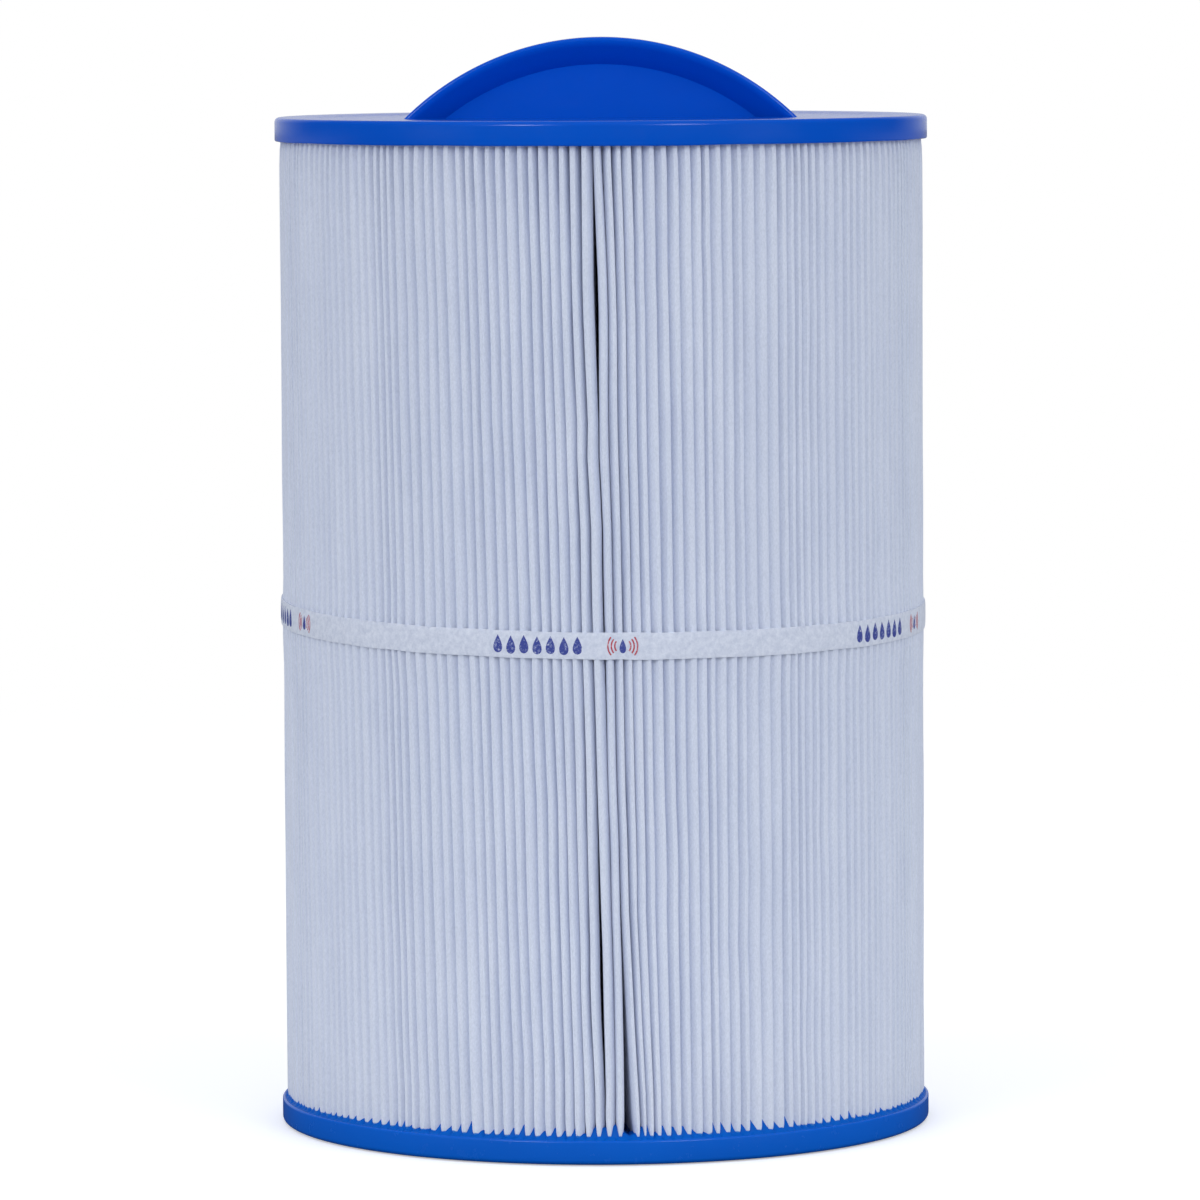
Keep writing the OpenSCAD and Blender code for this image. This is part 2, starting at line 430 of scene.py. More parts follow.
def make_seam_bead(tips, material):
    """The adhesive bead between the sheet's two ends, which leans with the seam."""
    z = pleat_levels()
    tip = tips[0]
    radii = np.linspace(abs(seam_hi.y), TIP_R - 1.6 * MM, 8)
    columns = []
    for side in (-1, 1):
        for r in (radii if side < 0 else radii[::-1]):
            bulge = 0.9 + 0.1 * math.sin(r / MM)
            columns.append(polar(r, tip + side * BEAD_HALF * bulge / r, z))
    count, rows = len(columns), len(z)
    points = grid_points(columns)
    faces = wall_faces(rows, count, range(count))
    half = count // 2
    for base, flip in ((0, True), ((rows - 1) * count, False)):
        for i in range(half - 1):
            quad = (base + i, base + i + 1, base + count - 2 - i, base + count - 1 - i)
            faces.append(tuple(reversed(quad)) if flip else quad)
    piece = new_piece("seam_adhesive_bead", points.tolist(), faces, material, False)
    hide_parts("pleat_seam")


# ---------- end caps ----------
CAP_COLUMNS = 480
DISH_DEPTH, DISH_SLOPE = 0.55 * MM, 6 * MM   # the top cap's dish and half the width of its slope
PLUG_H = 12 * MM                         # how far the top cap's plug reaches down into the core
CLIMB_LOW, CLIMB_HIGH = 1.0, 4.3         # how high the compound climbs between pleats, in mm
WET_LOW, WET_HIGH = 0.45, 0.95           # how high it wets the front of a foot, in mm
POT_SUNK = 0.6 * MM                      # how far the potting piece reaches down into the cap


def arc_points(centre, radius, start, end, count):
    """Points of an arc in the r-z plane, with angles in degrees."""
    turns = [math.radians(a) for a in np.linspace(start, end, count)]
    return [(centre[0] + radius * math.cos(t), centre[1] + radius * math.sin(t)) for t in turns]


def slope_points(r0, z0, r1, z1, count):
    """A soft S-shaped slope between two points of a profile."""
    t = np.linspace(0, 1, count)
    s = t * t * (3 - 2 * t)
    return list(zip(r0 + (r1 - r0) * t, z0 + (z1 - z0) * s))


def wander(angles, waves, amount):
    """A closed soft random run round the axis."""
    total = np.zeros_like(angles)
    for n in waves:
        total += np.sin(n * angles + rng.uniform(0, 2 * math.pi)) * rng.uniform(0.5, 1)
    return amount * total / math.sqrt(len(waves))


def lathe(name, profile, material, uneven=None):
    """A closed solid turned from a profile. uneven is (z, amount): the level whose edge wavers."""
    angles = np.linspace(0, 2 * math.pi, CAP_COLUMNS, endpoint=False)
    runs = wander(angles, (3, 5, 8, 13, 21), 1.0)
    rows = []
    for r, z in profile:
        level = np.full_like(angles, z)
        if uneven and abs(z - uneven[0]) < 0.7 * MM:
            level = level + runs * uneven[1] * (1 - abs(z - uneven[0]) / (0.7 * MM))
        rows.append(polar(np.full_like(angles, max(r, 0.02 * MM)), angles, level))
    points = np.array(rows).reshape(-1, 3)
    faces = ring_faces(len(profile), CAP_COLUMNS)
    piece = new_piece(name, points.tolist(), faces, material)
    sharpen(piece, 40)
    return piece


def make_top_cap(material):
    """The closed cap: a raised rim that slopes softly into a shallow dish, and a plug in the core."""
    edge, lower = 1.3 * MM, 0.5 * MM
    dish_r, dish_z = CAP_R - 12 * MM, BODY_H - DISH_DEPTH
    plug_r, plug_z = CORE_R - 2.6 * MM, BODY_H - PLUG_H
    profile = [(0, dish_z), (plug_r, dish_z), (dish_r - DISH_SLOPE, dish_z)]
    profile += slope_points(dish_r, dish_z, dish_r + DISH_SLOPE, BODY_H - 0.04 * MM, 11)
    profile += [(CAP_R - 4 * MM, BODY_H)]
    profile += arc_points((CAP_R - edge, BODY_H - edge), edge, 90, 0, 10)
    profile += [(CAP_R, TOP_CAP_Z + 2.5 * MM)]
    profile += arc_points((CAP_R - lower, TOP_CAP_Z + lower), lower, 0, -90, 6)
    profile += [(TIP_R - 4 * MM, TOP_CAP_Z), (plug_r, TOP_CAP_Z), (plug_r, plug_z), (0, plug_z)]
    piece = lathe("top_cap_casting", profile, material, (TOP_CAP_Z, 0.09 * MM))
    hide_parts("top_end_cap")


def make_bottom_cap(material):
    """The cast ring with the outlet port: sharp chamfer at the port's mouth, rounded outer edges."""
    port_r, chamfer, edge, lip = bottom_port(), 1.0 * MM, 1.3 * MM, 0.6 * MM
    profile = [(port_r, chamfer), (port_r + chamfer, 0), (port_r + 20 * MM, 0)]
    profile += arc_points((CAP_R - edge, edge), edge, -90, 0, 10)
    profile += [(CAP_R, CAP_Z - 2.5 * MM)]
    profile += arc_points((CAP_R - lip, CAP_Z - lip), lip, 0, 90, 7)
    profile += [(TIP_R - 8 * MM, CAP_Z), (CORE_R, CAP_Z)]
    profile += [(port_r + lip, CAP_Z), (port_r, CAP_Z - lip)]
    piece = lathe("bottom_cap_casting", profile, material)
    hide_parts("bottom_end_cap")


def bottom_port():
    """Radius of the outlet port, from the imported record."""
    for mount in frame["record"]["mounts"]:
        if mount["name"] == "outlet_port":
            return mount["dims"]["r_mm"] * MM
    raise ValueError("the record has no outlet port")


def make_potting(tips, material):
    """The compound's surface in the bottom cap: it climbs between the pleats and wets their feet."""
    foot = int(np.argmin(np.abs(pleat_levels() - CAP_Z)))
    feet = np.sort(np.mod(tips[:, foot] + math.pi, 2 * math.pi) - math.pi)
    per_pleat = 12
    mids = (feet + np.roll(feet, -1)) / 2
    mids[-1] = (feet[-1] + feet[0] + 2 * math.pi) / 2
    before = np.roll(mids, 1)
    before[0] -= 2 * math.pi
    near = near_seam((feet - tips[0, foot]) * PLEATS / (2 * math.pi))
    climb = (rng.uniform(CLIMB_LOW, CLIMB_HIGH, PLEATS) + 0.8 * near) * MM
    climb[int(np.argmin(np.abs(feet - tips[0, foot])))] = 0.9 * MM
    wet = rng.uniform(WET_LOW, WET_HIGH, PLEATS) * MM
    angles, rise, front = [], [], []
    for k in range(PLEATS):
        for j in range(per_pleat):
            u = -1 + 2 * j / per_pleat
            angle = feet[k] + u * ((feet[k] - before[k]) if u < 0 else (mids[k] - feet[k]))
            low, high = climb[k - 1], climb[k]
            angles.append(angle)
            rise.append(low + (high - low) * (u + 1) / 2)
            front.append(wet[k] * (1 - 0.75 * abs(u) ** 2))
    angles, rise, front = np.array(angles), np.array(rise), np.array(front)
    depths = np.array([-0.45, -0.2, 0.05, 0.3, 0.6, 1.0, 1.5, 2.1, 2.9, 4.0, 7.0]) * MM
    rows = []
    for depth in depths:
        wetting = smooth_step(-0.45 * MM, 0.35 * MM, depth)
        lifting = smooth_step(0.35 * MM, 1.65 * MM, depth)
        height = 0.03 * MM + front * wetting + (rise - front) * lifting
        rows.append(polar(TIP_R - depth, angles, CAP_Z + height))
    for depth in (depths[-1], depths[0]):
        rows.append(polar(TIP_R - depth, angles, np.full_like(angles, CAP_Z - POT_SUNK)))
    points = np.array(rows).reshape(-1, 3)
    faces = ring_faces(len(rows), len(angles))
    piece = new_piece("bottom_potting", points.tolist(), faces, material)
    sharpen(piece, 60)


# ---------- grip ----------
GRIP_R = 76.0 * MM                       # radius of the grip's arch
GRIP_FLARE = 7.4 * MM                    # height of the flared rim, along the arch's radius
GRIP_SUNK = 2.2 * MM                     # how far the grip's foot reaches down into the cap


def grip_profile(radius, half_web, half_rim):
    """Half of the grip's section, from the rim's inner end out to its middle: (r, y)."""
    flare, edge = GRIP_FLARE, 0.85 * MM
    turn = [(radius - flare, half_web + 0.05 * MM), (radius - flare + 0.35 * MM, half_web + 0.5 * MM)]
    points = list(turn)
    low, high = turn[-1], (radius - 2 * edge, half_rim - 0.15 * MM)
    for t in np.linspace(0, 1, 7)[1:]:
        points.append((low[0] + (high[0] - low[0]) * t, low[1] + (high[1] - low[1]) * t ** 0.9))
    for a in np.radians(np.linspace(-10, 90, 9)):
        points.append((radius - edge + edge * math.sin(a), half_rim - edge + edge * math.cos(a)))
    points += [(radius + 0.02 * MM, half_rim * 0.4)]
    return points


def make_grip(material):
    """The half-moon grip: a web with an outward-flared rim, swept along its arch into the cap."""
    half_rim, half_web = grip_hi.y, 2.5 * MM
    centre_z = grip_hi.z - GRIP_R
    level = BODY_H - GRIP_SUNK - centre_z
    web = [(r, half_web) for r in np.linspace(level + 0.25 * MM, GRIP_R - 7.9 * MM, 6)]
    front = web + grip_profile(GRIP_R, half_web, half_rim)
    section = [(r, -y) for r, y in front] + [(r, y) for r, y in reversed(front)]
    turns = np.linspace(-1, 1, 161)
    rows = []
    for r, y in section:
        reach = math.acos(min(level / r, 1))
        rows.append([(r * math.sin(t * reach), y, centre_z + r * math.cos(t * reach)) for t in turns])
    points = grid_points(rows)
    count = len(section)
    faces = wall_faces(len(turns), count, range(count))
    faces.append(tuple(reversed(range(count))))
    faces.append(tuple(range((len(turns) - 1) * count, len(turns) * count)))
    piece = new_piece("half_moon_grip", points.tolist(), faces, material)
    sharpen(piece, 35)
    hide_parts("grip")


# ---------- strap ----------
STRAP_WAVES = [(n, rng.uniform(0, 2 * math.pi), rng.uniform(0.4, 1)) for n in (7, 11, 17, 26, 41)]


def strap_run(angle, shift):
    """A closed soft random run round the strap."""
    return sum(a * np.sin(n * angle + p + shift) for n, p, a in STRAP_WAVES) / 2


def strap_outer(angle, across):
    """Radius of the strap's outer face. across runs from -1 at its lower edge to 1 at its upper."""
    turn = np.clip((angle - STRAP_START - 2 * math.pi + STRAP_LAP) / math.radians(5), 0, 1)
    over = (STRAP_T + 0.03 * MM) * turn * turn * (3 - 2 * turn)
    ripple = 0.035 * MM * np.cos(PLEATS * angle) + 0.03 * MM * strap_run(3 * angle, 1.0)
    crown = 0.12 * MM * np.abs(across) ** 4
    weld = np.cos(angle * TIP_R / (2.6 * MM) * 2 * math.pi) * np.cos(across * 2 * math.pi)
    spots = 0.16 * MM * smooth_step(0.35, 0.8, weld) * smooth_step(0.3, 1, turn)
    return BAND_R + STRAP_T + over + ripple - crown - spots


def strap_height(angle, across):
    """Height of a point of the strap: it sits slightly askew and its edges waver a little."""
    askew = STRAP_RISE * (1 - np.cos(angle)) - STRAP_CANT * np.sin(angle)
    edge = 0.07 * MM * strap_run(angle, 0.0) + 0.05 * MM * across * strap_run(2 * angle, 2.0)
    return BAND_Z + askew + across * BAND_HALF * 0.985 + edge


def make_strap(material):
    """One strip of nonwoven round the tips, with its two ends lapped and welded at the back."""
    turns = np.linspace(STRAP_START - STRAP_LAP, STRAP_START + 2 * math.pi, PLEATS * 7)
    across = np.array([-1, -0.93, -0.75, -0.5, -0.25, 0, 0.25, 0.5, 0.75, 0.93, 1.0])
    columns = []
    for c in across:
        columns.append(polar(strap_outer(turns, c), turns, strap_height(turns, c)))
    for c in across[::-1]:
        columns.append(polar(strap_outer(turns, c) - STRAP_T, turns, strap_height(turns, c)))
    count, rows = len(columns), len(turns)
    points = grid_points(columns)
    faces = []
    for j in range(rows - 1):
        for i in range(count):
            n = (i + 1) % count
            faces.append((j * count + i, (j + 1) * count + i, (j + 1) * count + n, j * count + n))
    faces.append(tuple(range(count)))
    faces.append(tuple(reversed(range((rows - 1) * count, rows * count))))
    piece = new_piece("strap", points.tolist(), faces, material)
    sharpen(piece, 50)
    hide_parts("retaining_band")


def drop_outline(x, y, width, height):
    """A water drop with its point up."""
    points = []
    for t in np.linspace(0, 2 * math.pi, 18, endpoint=False):
        points.append((x + width / 2 * math.sin(t) * math.sin(t / 2) ** 1.3, y + height / 2 * math.cos(t)))
    return points


def ripple_outline(radius, side, thick):
    """A short arc beside the drop, bulging away from it."""
    turns = np.radians(np.linspace(-38, 38, 11))
    outer = [(side * radius * math.cos(t), radius * math.sin(t)) for t in turns]
    inner = [(side * (radius - thick) * math.cos(t), (radius - thick) * math.sin(t)) for t in turns[::-1]]
    return (outer + inner)[::side]


def print_shapes(name, outlines, angle, material, shrinks=(0.66, 0.33)):
    """Ink on the strap: flat outlines in metres, cut into rings that follow the strap's face."""
    points, faces = [], []
    for outline in outlines:
        base, n = len(points), len(outline)
        outline = np.array(outline)
        middle = outline.mean(axis=0)
        rings = [(-0.05 * MM, 1.0), (INK_LIFT, 1.0)] + [(INK_LIFT, s) for s in shrinks]
        for lift, shrink in rings:
            for x, y in middle + (outline - middle) * shrink:
                points.append(on_strap(x, y, angle, lift))
        for ring in range(len(rings) - 1):
            for i in range(n):
                a, b = base + ring * n + i, base + ring * n + (i + 1) % n
                faces.append((a, b, b + n, a + n))
        last = base + (len(rings) - 1) * n
        faces.append(tuple(range(last, last + n)))
        faces.append(tuple(reversed(range(base, base + n))))
    new_piece(name, points, faces, material, False)


def on_strap(x, y, angle, lift):
    """A point of the strap's outer face, from distances along and across the strap."""
    turn = angle + x / TIP_R
    if turn < STRAP_START - STRAP_LAP:
        turn += 2 * math.pi
    across = y / BAND_HALF
    return tuple(polar(strap_outer(turn, across) + lift, turn, strap_height(turn, across)))


def make_print(blue, red):
    """A generic print of drops and ripples, repeated round the strap."""
    drops = [drop_outline((i - 3) * 3.55 * MM, 0.1 * MM * (-1) ** i, 3.4 * MM, 4.9 * MM) for i in range(7)]
    ripples = [ripple_outline(r * MM, side, 0.4 * MM) for side in (-1, 1) for r in (2.3, 3.2, 4.1)]
    single = [drop_outline(0, 0, 2.4 * MM, 3.9 * MM)]
    for i in range(-2, 3):
        print_shapes(f"print_drops_{i + 3}", drops, MARK_BLUE + i * MARK_STEP, blue)
        print_shapes(f"print_ripples_{i + 3}", ripples, MARK_SMALL + i * MARK_STEP, red, ())
        print_shapes(f"print_single_{i + 3}", single, MARK_SMALL + i * MARK_STEP, blue)


# ---------- materials ----------
def new_material(name):
    """A material with its nodes, links, shader and texture coordinates."""
    material = bpy.data.materials.new(name)
    material.use_nodes = True
    nodes, links = material.node_tree.nodes, material.node_tree.links
    shader = nodes["Principled BSDF"]
    coords = nodes.new("ShaderNodeTexCoord")
    return material, nodes, links, shader, coords


def noise_node(nodes, links, coords, scale, detail=3.0, rough=0.55, stretch=(1, 1, 1)):
    """Noise in the object's own coordinates, finer along an axis with a larger stretch."""
    mapping = nodes.new("ShaderNodeMapping")
    mapping.inputs["Scale"].default_value = stretch
    noise = nodes.new("ShaderNodeTexNoise")
    noise.inputs["Scale"].default_value = scale
    noise.inputs["Detail"].default_value = detail
    noise.inputs["Roughness"].default_value = rough
    links.new(coords.outputs["Object"], mapping.inputs["Vector"])
    links.new(mapping.outputs["Vector"], noise.inputs["Vector"])
    return noise


def grey(value):
    """A grey colour."""
    return (value, value, value)


def ramp_node(nodes, links, source, stops):
    """A colour ramp through stops of (position, colour)."""
    ramp = nodes.new("ShaderNodeValToRGB")
    ramp.color_ramp.elements[0].position = stops[0][0]
    ramp.color_ramp.elements[0].color = (*stops[0][1], 1)
    ramp.color_ramp.elements[1].position = stops[-1][0]
    ramp.color_ramp.elements[1].color = (*stops[-1][1], 1)
    for position, colour in stops[1:-1]:
        element = ramp.color_ramp.elements.new(position)
        element.color = (*colour, 1)
    links.new(source, ramp.inputs["Fac"])
    return ramp


def mix_node(nodes, links, blend, a, b, factor=None):
    """Mixes two colours. Returns the result's socket."""
    mix = nodes.new("ShaderNodeMix")
    mix.data_type = "RGBA"
    mix.blend_type = blend
    mix.inputs["Factor"].default_value = 1.0
    for value, name in ((a, "A"), (b, "B"), (factor, "Factor")):
        if value is not None:
            links.new(value, mix.inputs[name])
    return mix.outputs["Result"]


def bump_node(nodes, links, height, strength, distance, below=None):
    """A bump, on top of the one below it if there is one."""
    bump = nodes.new("ShaderNodeBump")
    bump.inputs["Strength"].default_value = strength
    bump.inputs["Distance"].default_value = distance
    links.new(height, bump.inputs["Height"])
    if below is not None:
        links.new(below.outputs["Normal"], bump.inputs["Normal"])
    return bump


def media_material():
    """Spunbond polyester: white with a blue cast, fine fibres with painted glints, blue soaked into its
    foot.
    """
    material, nodes, links, shader, coords = new_material("spunbond_media")
    cloud = noise_node(nodes, links, coords, 90, 4.0, 0.6, (1, 1, 0.35))
    tint = ramp_node(nodes, links, cloud.outputs["Fac"],
                     [(0.3, (0.70, 0.745, 0.89)), (0.7, (0.76, 0.80, 0.93))])
    fibres = noise_node(nodes, links, coords, 2600, 5.0, 0.7, (1, 1, 0.45))
    # Fibre tone with painted glints: the fibres vary a little in tone, and their brightest specks are
    # painted whiter than white to stand in for sparkle.
    fibre_tone_and_painted_glints = ramp_node(nodes, links, fibres.outputs["Fac"],
                      [(0.33, (0.86, 0.87, 0.88)), (0.62, grey(1.0)), (0.72, grey(1.0)),
                       (0.78, (1.22, 1.2, 1.12))])
    mix = mix_node(nodes, links, "MULTIPLY", tint.outputs["Color"], fibre_tone_and_painted_glints.outputs["Color"])
    height = nodes.new("ShaderNodeSeparateXYZ")
    links.new(coords.outputs["Object"], height.inputs["Vector"])
    blotch = noise_node(nodes, links, coords, 420, 3.0, 0.6)
    level = nodes.new("ShaderNodeMath")
    level.operation = "MULTIPLY_ADD"
    level.inputs[1].default_value = SOAK_WAVER
    links.new(blotch.outputs["Fac"], level.inputs[0])
    links.new(height.outputs["Z"], level.inputs[2])
    soak = nodes.new("ShaderNodeMapRange")
    soak.interpolation_type = "SMOOTHSTEP"
    soak.inputs["From Min"].default_value = CAP_Z + SOAK_TOP
    soak.inputs["From Max"].default_value = CAP_Z + SOAK_TOP + SOAK_EDGE
    soak.inputs["To Min"].default_value = 1.0
    soak.inputs["To Max"].default_value = 0.0
    links.new(level.outputs["Value"], soak.inputs["Value"])
    foot = mix_node(nodes, links, "MIX", mix, None, soak.outputs["Result"])
    foot.node.inputs["B"].default_value = (0.01, 0.2, 0.62, 1)
    links.new(foot, shader.inputs["Base Color"])
    rough = ramp_node(nodes, links, cloud.outputs["Fac"],
                      [(0.3, grey(0.78)), (0.7, grey(0.9))])
    links.new(rough.outputs["Color"], shader.inputs["Roughness"])
    fuzz = bump_node(nodes, links, fibres.outputs["Fac"], 0.35, 0.00012)
    waves = noise_node(nodes, links, coords, 160, 3.0, 0.5, (1, 1, 0.25))
    dents = bump_node(nodes, links, waves.outputs["Fac"], 0.3, 0.0006, fuzz)
    links.new(dents.outputs["Normal"], shader.inputs["Normal"])
    shader.inputs["Sheen Weight"].default_value = 0.25
    shader.inputs["Sheen Roughness"].default_value = 0.5
    shader.inputs["Specular IOR Level"].default_value = 0.25
    return material


def blue_material(name, deep, light, peel_strength, gloss=0.15, shine=0.22):
    """Glossy cast or moulded blue plastic with faint flow marks, orange peel and fine scratches."""
    material, nodes, links, shader, coords = new_material(name)
    flow = noise_node(nodes, links, coords, 22, 5.0, 0.6, (1, 1, 2.5))
    tint = ramp_node(nodes, links, flow.outputs["Fac"], [(0.3, deep), (0.7, light)])
    links.new(tint.outputs["Color"], shader.inputs["Base Color"])
    wear = noise_node(nodes, links, coords, 240, 5.0, 0.65)
    rough = ramp_node(nodes, links, wear.outputs["Fac"],
                      [(0.3, grey(gloss)), (0.6, grey(gloss + 0.04)), (0.75, grey(gloss + 0.11))])
    links.new(rough.outputs["Color"], shader.inputs["Roughness"])
    peel = noise_node(nodes, links, coords, 700, 2.0, 0.5)
    skin = bump_node(nodes, links, peel.outputs["Fac"], peel_strength, 0.00012)
    scratch = noise_node(nodes, links, coords, 60, 6.0, 0.75, (1, 9, 9))
    lines = bump_node(nodes, links, scratch.outputs["Fac"], 0.05, 0.0004, skin)
    links.new(lines.outputs["Normal"], shader.inputs["Normal"])
    shader.inputs["Specular IOR Level"].default_value = shine
    return material


def core_material():
    """Off-white moulded plastic with a matt skin."""
    material, nodes, links, shader, coords = new_material("core_plastic")
    cloud = noise_node(nodes, links, coords, 60, 4.0, 0.6)
    tint = ramp_node(nodes, links, cloud.outputs["Fac"],
                     [(0.3, (0.66, 0.66, 0.62)), (0.7, (0.74, 0.74, 0.71))])
    links.new(tint.outputs["Color"], shader.inputs["Base Color"])
    grain = noise_node(nodes, links, coords, 1500, 3.0, 0.6)
    rough = ramp_node(nodes, links, grain.outputs["Fac"],
                      [(0.3, grey(0.42)), (0.7, grey(0.56))])
    links.new(rough.outputs["Color"], shader.inputs["Roughness"])
    bump = bump_node(nodes, links, grain.outputs["Fac"], 0.15, 0.0001)
    links.new(bump.outputs["Normal"], shader.inputs["Normal"])
    return material


def bead_material():
    """Cream hot-melt adhesive, slightly waxy."""
    material, nodes, links, shader, coords = new_material("hot_melt")
    cloud = noise_node(nodes, links, coords, 300, 4.0, 0.6)
    tint = ramp_node(nodes, links, cloud.outputs["Fac"],
                     [(0.3, (0.7, 0.68, 0.6)), (0.7, (0.8, 0.79, 0.72))])
    links.new(tint.outputs["Color"], shader.inputs["Base Color"])
    bump = bump_node(nodes, links, cloud.outputs["Fac"], 0.4, 0.0003)
    links.new(bump.outputs["Normal"], shader.inputs["Normal"])
    shader.inputs["Roughness"].default_value = 0.45
    return material


def strap_material():
    """Calendered nonwoven: white, crossed fibres pressed flat, a little sheen."""
    material, nodes, links, shader, coords = new_material("strap_nonwoven")
    cloud = noise_node(nodes, links, coords, 700, 5.0, 0.7)
    tint = ramp_node(nodes, links, cloud.outputs["Fac"],
                     [(0.3, (0.59, 0.635, 0.775)), (0.7, (0.80, 0.835, 0.95))])
    links.new(tint.outputs["Color"], shader.inputs["Base Color"])
    fibres = noise_node(nodes, links, coords, 1700, 6.0, 0.75, (1, 1, 1.6))
    crumple = noise_node(nodes, links, coords, 420, 4.0, 0.6)
    fuzz = bump_node(nodes, links, fibres.outputs["Fac"], 0.6, 0.0002)
    dents = bump_node(nodes, links, crumple.outputs["Fac"], 0.45, 0.0004, fuzz)
    links.new(dents.outputs["Normal"], shader.inputs["Normal"])
    rough = ramp_node(nodes, links, crumple.outputs["Fac"],
                      [(0.3, grey(0.6)), (0.7, grey(0.8))])
    links.new(rough.outputs["Color"], shader.inputs["Roughness"])
    shader.inputs["Sheen Weight"].default_value = 0.2
    shader.inputs["Specular IOR Level"].default_value = 0.3
    return material


def ink_material(name, dark, faded):
    """Ink printed on rough nonwoven: mottled, with the white fibres showing through."""
    material, nodes, links, shader, coords = new_material(name)
    mottle = noise_node(nodes, links, coords, 1500, 5.0, 0.7)
    tint = ramp_node(nodes, links, mottle.outputs["Fac"],
                     [(0.32, dark), (0.52, dark), (0.6, faded), (0.7, (0.72, 0.75, 0.84))])
    links.new(tint.outputs["Color"], shader.inputs["Base Color"])
    bump = bump_node(nodes, links, mottle.outputs["Fac"], 0.3, 0.0001)
    links.new(bump.outputs["Normal"], shader.inputs["Normal"])
    shader.inputs["Roughness"].default_value = 0.7
    shader.inputs["Specular IOR Level"].default_value = 0.3
    return material


# ---------- stage ----------
FLOOR_R = 14.0                           # the floor's radius, in metres
FLOOR_DROP = 0.3 * MM                    # how far the floor lies below the cartridge
FLOOR_GLOW = 0.42                        # what the floor adds to its own shading
FLOOR_NEAR, FLOOR_FAR = 0.6, 0.3         # how much light it sends up, beside the object and away
KEY_PLACE = (0.95, -1.72, 1.12)          # the right key light, which has a twin on the left
FILL_PLACE = (1.6, -1.0, 0.5)            # the right side fill, with its twin too


def floor_material():
    """Pale matt floor that fades to plain white away from the object. Gloss sees it dimmer."""
    material, nodes, links, shader, coords = new_material("pale_floor")
    cloud = noise_node(nodes, links, coords, 3, 2.0)
    tint = ramp_node(nodes, links, cloud.outputs["Fac"],
                     [(0.3, (0.86, 0.865, 0.87)), (0.7, (0.88, 0.885, 0.89))])
    links.new(tint.outputs["Color"], shader.inputs["Base Color"])
    shader.inputs["Roughness"].default_value = 0.9
    shader.inputs["Specular IOR Level"].default_value = 0.1
    shader.inputs["Emission Color"].default_value = (1, 1, 1, 1)
    shader.inputs["Emission Strength"].default_value = FLOOR_GLOW
    reach = nodes.new("ShaderNodeVectorMath")
    reach.operation = "LENGTH"
    links.new(coords.outputs["Object"], reach.inputs[0])
    far = nodes.new("ShaderNodeMapRange")
    far.interpolation_type = "SMOOTHSTEP"
    far.inputs["From Min"].default_value = 0.3
    far.inputs["From Max"].default_value = 1.3
    links.new(reach.outputs["Value"], far.inputs["Value"])
    white = nodes.new("ShaderNodeEmission")
    fade = nodes.new("ShaderNodeMixShader")
    links.new(far.outputs["Result"], fade.inputs["Fac"])
    links.new(shader.outputs["BSDF"], fade.inputs[1])
    links.new(white.outputs["Emission"], fade.inputs[2])
    path = nodes.new("ShaderNodeLightPath")
    # The light the floor sends up for diffuse rays, with a painted contact shadow: it falls almost to
    # nothing right under the cartridge's edge.
    near = ramp_node(nodes, links, reach.outputs["Value"],
                     [(CAP_R - 3 * MM, grey(0.02)), (CAP_R + 3 * MM, grey(0.3)),
                      (CAP_R + 25 * MM, grey(FLOOR_NEAR)), (0.22, grey(FLOOR_NEAR)),
                      (0.5, grey(FLOOR_FAR))])
    bounce = nodes.new("ShaderNodeEmission")
    bounce.inputs["Color"].default_value = (0.93, 0.97, 1.0, 1)
    links.new(near.outputs["Color"], bounce.inputs["Strength"])
    soft = nodes.new("ShaderNodeMixShader")
    links.new(path.outputs["Is Diffuse Ray"], soft.inputs["Fac"])
    links.new(fade.outputs["Shader"], soft.inputs[1])
    links.new(bounce.outputs["Emission"], soft.inputs[2])
    split = nodes.new("ShaderNodeSeparateXYZ")
    links.new(coords.outputs["Object"], split.inputs["Vector"])
    side = nodes.new("ShaderNodeMapRange")
    side.inputs["From Min"].default_value = -0.5
    side.inputs["From Max"].default_value = 1.5
    links.new(split.outputs["Y"], side.inputs["Value"])
    dim = ramp_node(nodes, links, side.outputs["Result"],
                    [(0.2, grey(0.02)), (0.8, (0.32, 0.33, 0.35))])
    dim_glow = nodes.new("ShaderNodeEmission")
    links.new(dim.outputs["Color"], dim_glow.inputs["Color"])
    gloss = nodes.new("ShaderNodeMixShader")
    links.new(path.outputs["Is Glossy Ray"], gloss.inputs["Fac"])
    links.new(soft.outputs["Shader"], gloss.inputs[1])
    links.new(dim_glow.outputs["Emission"], gloss.inputs[2])
    below = nodes.new("ShaderNodeNewGeometry")
    clear = nodes.new("ShaderNodeBsdfTransparent")
    through = nodes.new("ShaderNodeMixShader")
    links.new(below.outputs["Backfacing"], through.inputs["Fac"])
    links.new(gloss.outputs["Shader"], through.inputs[1])
    links.new(clear.outputs["BSDF"], through.inputs[2])
    links.new(through.outputs["Shader"], nodes["Material Output"].inputs["Surface"])
    return material


LIGHT_TARGET = Vector((0, 0, 0.14))


def area_light(name, place, size, power, glossy=True, diffuse=True):
    """A cool rectangular light aimed at the middle of the cartridge."""
    data = bpy.data.lights.new(name, "AREA")
    data.shape = "RECTANGLE"
    data.size, data.size_y = size
    data.energy = power
    data.color = (0.93, 0.965, 1.0)
    light = bpy.data.objects.new(name, data)
    light.location = place
    light.rotation_euler = (LIGHT_TARGET - Vector(place)).to_track_quat("-Z", "Y").to_euler()
    light.visible_glossy = glossy
    light.visible_diffuse = diffuse
    bpy.context.scene.collection.objects.link(light)


def world_light(nodes, links, split, front_to_back, low_to_high):
    """The sum of two ramps over a direction, one along Y and one along Z."""
    along = ramp_node(nodes, links, split.outputs["Y"], front_to_back)
    above = ramp_node(nodes, links, split.outputs["Z"], low_to_high)
    return mix_node(nodes, links, "ADD", along.outputs["Color"], above.outputs["Color"])


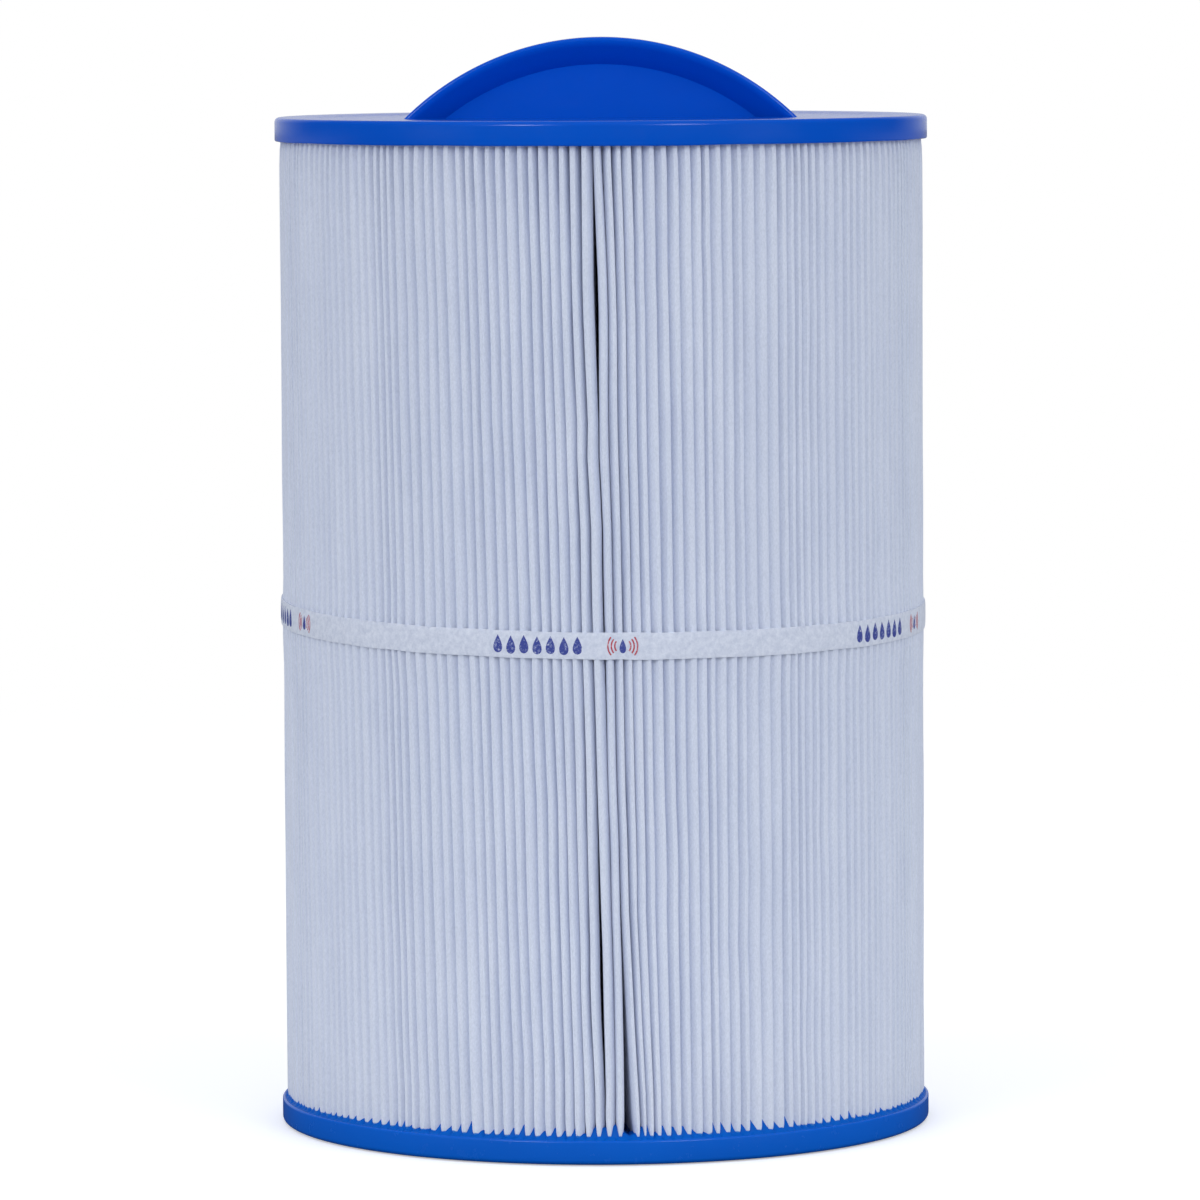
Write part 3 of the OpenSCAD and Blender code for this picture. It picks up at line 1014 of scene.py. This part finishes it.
def make_world():
    """A soft white tent. The camera sees plain white; gloss sees white behind and a dim front."""
    world = bpy.data.worlds.new("studio")
    bpy.context.scene.world = world
    world.use_nodes = True
    nodes, links = world.node_tree.nodes, world.node_tree.links
    background = nodes["Background"]
    coords = nodes.new("ShaderNodeTexCoord")
    split = nodes.new("ShaderNodeSeparateXYZ")
    links.new(coords.outputs["Generated"], split.inputs["Vector"])
    black = grey(0.0)
    shone = world_light(nodes, links, split,
                        [(0.0, (0.012, 0.014, 0.02)), (0.60, (0.03, 0.032, 0.04)),
                         (0.78, (0.36, 0.42, 0.42)), (1.0, (0.75, 0.77, 0.8))],
                        [(0.45, black), (0.9, (0.16, 0.18, 0.2))])
    lit = world_light(nodes, links, split,
                      [(0.0, (0.62, 0.645, 0.68)), (0.5, (0.45, 0.465, 0.49)),
                       (1.0, (0.5, 0.515, 0.54))],
                      [(0.5, black), (1.0, (0.2, 0.2, 0.21))])
    path = nodes.new("ShaderNodeLightPath")
    result = mix_node(nodes, links, "MIX", lit, shone, path.outputs["Is Glossy Ray"])
    result = mix_node(nodes, links, "MIX", result, None, path.outputs["Is Camera Ray"])
    result.node.inputs["B"].default_value = (1, 1, 1, 1)
    links.new(result, background.inputs["Color"])
    background.inputs["Strength"].default_value = 1.0


def make_stage():
    """The floor and the lights, which come in pairs, one on each side."""
    make_world()
    floor_z = bottom_lo.z - FLOOR_DROP
    steps = 96
    turns = [2 * math.pi * i / steps for i in range(steps)]
    points = [(FLOOR_R * math.cos(t), FLOOR_R * math.sin(t), floor_z) for t in turns]
    mesh = bpy.data.meshes.new("floor")
    mesh.from_pydata(points, [], [tuple(range(steps))])
    mesh.materials.append(floor_material())
    floor = bpy.data.objects.new("floor", mesh)
    bpy.context.scene.collection.objects.link(floor)
    for side in (-1, 1):
        key, fill = ((side * x, y, z) for x, y, z in (KEY_PLACE, FILL_PLACE))
        area_light("key", key, (0.5, 0.55), 4.5)
        area_light("glint", key, (0.5, 0.55), 12, diffuse=False)
        area_light("side_fill", fill, (0.7, 1.1), 6.0, glossy=False)
    scene = bpy.context.scene
    scene.view_settings.view_transform = "Standard"
    scene.view_settings.look = "None"


# ---------- build ----------
def paint(node, material):
    """Gives a CAD node its material."""
    node.data.materials.clear()
    node.data.materials.append(material)


make_camera()
make_stage()

media = media_material()
cap_blue = blue_material("cast_blue", (0.0, 0.086, 0.58), (0.0, 0.094, 0.62), 0.06)
# The bottom cap gets a lighter copy of the cap blue: painted light, standing in for light bounced up from
# the floor. Its higher roughness is its own.
lower_blue_painted_lit = blue_material("cast_blue_lower_painted_bounce", (0.0, 0.110, 0.60), (0.0, 0.120, 0.64), 0.06,
                           gloss=0.22)
# The compound between the pleats' feet gets a darker copy of the bottom cap's blue: painted shade of the
# grooves it fills. Its low shine and high roughness are its own.
potting_blue_painted_shade = blue_material("potted_blue_painted_shade", (0.0, 0.105, 0.52), (0.0, 0.115, 0.56), 0.06,
                             gloss=0.4, shine=0.06)
grip_blue = blue_material("moulded_blue", (0.0, 0.088, 0.60), (0.0, 0.094, 0.63), 0.04)
nodes_by_name = frame["nodes"]
core_look = core_material()
paint(nodes_by_name["core_upper"], core_look)
paint(nodes_by_name["core_lower"], core_look)

tip_angles = make_pleats(media)
make_seam_bead(tip_angles, bead_material())
make_top_cap(cap_blue)
make_bottom_cap(lower_blue_painted_lit)
make_grip(grip_blue)
make_potting(tip_angles, potting_blue_painted_shade)
make_strap(strap_material())
make_print(ink_material("blue_ink", (0.05, 0.07, 0.33), (0.2, 0.24, 0.5)),
           ink_material("red_ink", (0.5, 0.06, 0.09), (0.62, 0.3, 0.36)))
